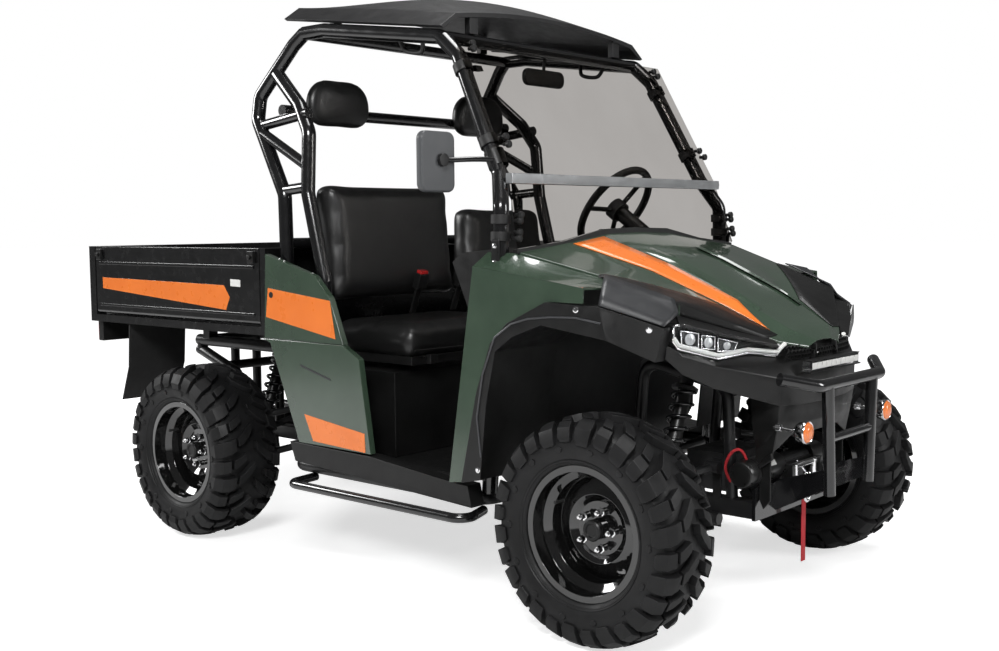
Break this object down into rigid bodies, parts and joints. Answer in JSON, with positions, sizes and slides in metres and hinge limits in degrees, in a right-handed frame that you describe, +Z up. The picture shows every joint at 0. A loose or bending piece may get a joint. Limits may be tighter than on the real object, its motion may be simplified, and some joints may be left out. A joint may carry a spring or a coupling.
{
  "type": "side by side utility vehicle",
  "caption": "Side-by-side utility vehicle with a tube cage, hard roof, folding windscreen, tipping drop-side bed, bull bar, winch and lugged tyres.",
  "frame": {"origin": "on the ground, at the middle of the overall length and width", "axes": "+X forward, +Y to the driver's left, +Z up"},
  "size_m": [3.14, 1.619, 2.0298],
  "materials": {
    "frame_paint": "satin black powder coat",
    "cage_paint": "gloss black powder coat",
    "roof_plastic": "textured black plastic",
    "smoked_glass": "smoked clear polycarbonate",
    "seal_rubber": "matt black rubber",
    "green_paint": "gloss dark olive green",
    "grey_plastic": "satin dark grey",
    "black_plastic": "satin black",
    "lamp_clear": "clear lamp lens",
    "black_metal": "satin black",
    "red_webbing": "red woven webbing",
    "amber_lens": "amber lens",
    "black_vinyl": "black grained vinyl",
    "black_rubber": "matt black rubber",
    "cast_metal": "dark cast metal",
    "steel": "plain steel",
    "bed_paint": "gloss black powder coat",
    "red_lens": "red lens",
    "chrome_rod": "polished rod",
    "tyre_rubber": "dusty rubber",
    "rim_paint": "gloss black steel"
  },
  "bodies": {
    "chassis": {"chassis_frame": "frame_paint", "rear_subframe": "frame_paint", "front_tower": "frame_paint", "roll_cage": "cage_paint", "roof_panel": "roof_plastic", "windscreen": "smoked_glass", "windscreen_fittings": "seal_rubber", "front_fenders": "green_paint", "fender_caps": "grey_plastic", "front_wheel_arches": "black_plastic", "nose_fascia": "black_plastic", "headlamps": "lamp_clear", "grille": "black_plastic", "light_bar": "lamp_clear", "bull_bar": "cage_paint", "winch": "black_metal", "hook_strap": "red_webbing", "front_indicators": "amber_lens", "rear_quarter_panels": "green_paint", "lower_side_panels": "green_paint", "sill_covers": "black_plastic", "side_steps": "cage_paint", "floor_pan": "black_plastic", "seat_box": "black_plastic", "seat_cushions": "black_vinyl", "seat_backs": "black_vinyl", "headrests": "black_vinyl", "dashboard": "black_plastic", "steering_column": "black_metal", "control_levers": "black_metal", "pedals": "black_metal", "side_mirror": "black_plastic", "cabin_mirror": "black_plastic", "engine_block": "cast_metal", "front_suspension": "frame_paint", "rear_suspension": "frame_paint", "shock_absorbers": "black_metal", "driveline": "cast_metal"},
    "bonnet": {"hood": "green_paint"},
    "bed": {"bed_tub": "bed_paint", "mud_flaps": "black_rubber", "tail_lamps": "red_lens"},
    "left_gate": {"left_side_gate": "bed_paint"},
    "right_gate": {"right_side_gate": "bed_paint"},
    "rear_gate": {"tailgate": "bed_paint"},
    "left_knuckle_body": {"left_knuckle": "cast_metal"},
    "right_knuckle_body": {"right_knuckle": "cast_metal"},
    "steering_wheel_body": {"steering_wheel": "black_rubber"},
    "rack": {"steering_rack": "steel"},
    "strut_barrel": {"strut_cylinder": "black_metal"},
    "strut_plunger": {"strut_rod": "chrome_rod"},
    "front_left_wheel": {"front_left_tyre": "tyre_rubber", "front_left_rim": "rim_paint"},
    "front_right_wheel": {"front_right_tyre": "tyre_rubber", "front_right_rim": "rim_paint"},
    "rear_left_wheel": {"rear_left_tyre": "tyre_rubber", "rear_left_rim": "rim_paint"},
    "rear_right_wheel": {"rear_right_tyre": "tyre_rubber", "rear_right_rim": "rim_paint"}
  },
  "joints": [
    {"name": "steer_left", "type": "hinge", "parent": "chassis", "child": "left_knuckle_body", "pos_m": [1.1175, 0.57, 0.33], "axis": [0, 0, 1], "range_deg": [-32, 32]},
    {"name": "steer_right", "type": "hinge", "parent": "chassis", "child": "right_knuckle_body", "pos_m": [1.1175, -0.57, 0.33], "axis": [0, 0, 1], "range_deg": [-32, 32]},
    {"name": "steering_wheel_turn", "type": "hinge", "parent": "chassis", "child": "steering_wheel_body", "pos_m": [0.4445, 0.33, 1.25], "axis": [-0.8192, 0, 0.5736], "range_deg": [-320, 320]},
    {"name": "rack_slide", "type": "slide", "parent": "chassis", "child": "rack", "axis": [0, 1, 0], "range_m": [-0.052, 0.052]},
    {"name": "front_left_wheel_spin", "type": "hinge", "parent": "left_knuckle_body", "child": "front_left_wheel", "pos_m": [1.1175, 0.675, 0.33], "axis": [0, 1, 0], "continuous": true},
    {"name": "front_right_wheel_spin", "type": "hinge", "parent": "right_knuckle_body", "child": "front_right_wheel", "pos_m": [1.1175, -0.675, 0.33], "axis": [0, 1, 0], "continuous": true},
    {"name": "rear_left_wheel_spin", "type": "hinge", "parent": "chassis", "child": "rear_left_wheel", "pos_m": [-0.8175, 0.655, 0.33], "axis": [0, 1, 0], "continuous": true},
    {"name": "rear_right_wheel_spin", "type": "hinge", "parent": "chassis", "child": "rear_right_wheel", "pos_m": [-0.8175, -0.655, 0.33], "axis": [0, 1, 0], "continuous": true},
    {"name": "bed_tilt", "type": "hinge", "parent": "chassis", "child": "bed", "pos_m": [-1.352, 0, 0.768], "axis": [0, -1, 0], "range_deg": [0, 40]},
    {"name": "tailgate_drop", "type": "hinge", "parent": "bed", "child": "rear_gate", "pos_m": [-1.527, 0, 0.851], "axis": [0, -1, 0], "range_deg": [0, 90]},
    {"name": "left_gate_drop", "type": "hinge", "parent": "bed", "child": "left_gate", "pos_m": [-0.942, 0.685, 0.851], "axis": [-1, 0, 0], "range_deg": [0, 90]},
    {"name": "right_gate_drop", "type": "hinge", "parent": "bed", "child": "right_gate", "pos_m": [-0.942, -0.685, 0.851], "axis": [1, 0, 0], "range_deg": [0, 90]},
    {"name": "bonnet_lift", "type": "hinge", "parent": "chassis", "child": "bonnet", "pos_m": [1.4635, 0, 0.807], "axis": [0, 1, 0], "range_deg": [0, 60]},
    {"name": "strut_swing", "type": "hinge", "parent": "chassis", "child": "strut_barrel", "pos_m": [-1.24, 0.12, 0.56], "axis": [0, -1, 0], "range_deg": [0, 21.46]},
    {"name": "strut_slide", "type": "slide", "parent": "strut_barrel", "child": "strut_plunger", "axis": [0.5488, 0, 0.836], "range_m": [0, 0.1333]}
  ],
  "couplings": [
    {"joint": "steer_right", "follows": "steer_left", "ratio": 1},
    {"joint": "steering_wheel_turn", "follows": "steer_left", "ratio": 9.9},
    {"joint": "rack_slide", "follows": "steer_left", "m_per_rad": -0.09014},
    {"joint": "strut_swing", "follows": "bed_tilt", "ratio": 0.5114},
    {"joint": "strut_slide", "follows": "bed_tilt", "m_per_rad": 0.18803}
  ]
}
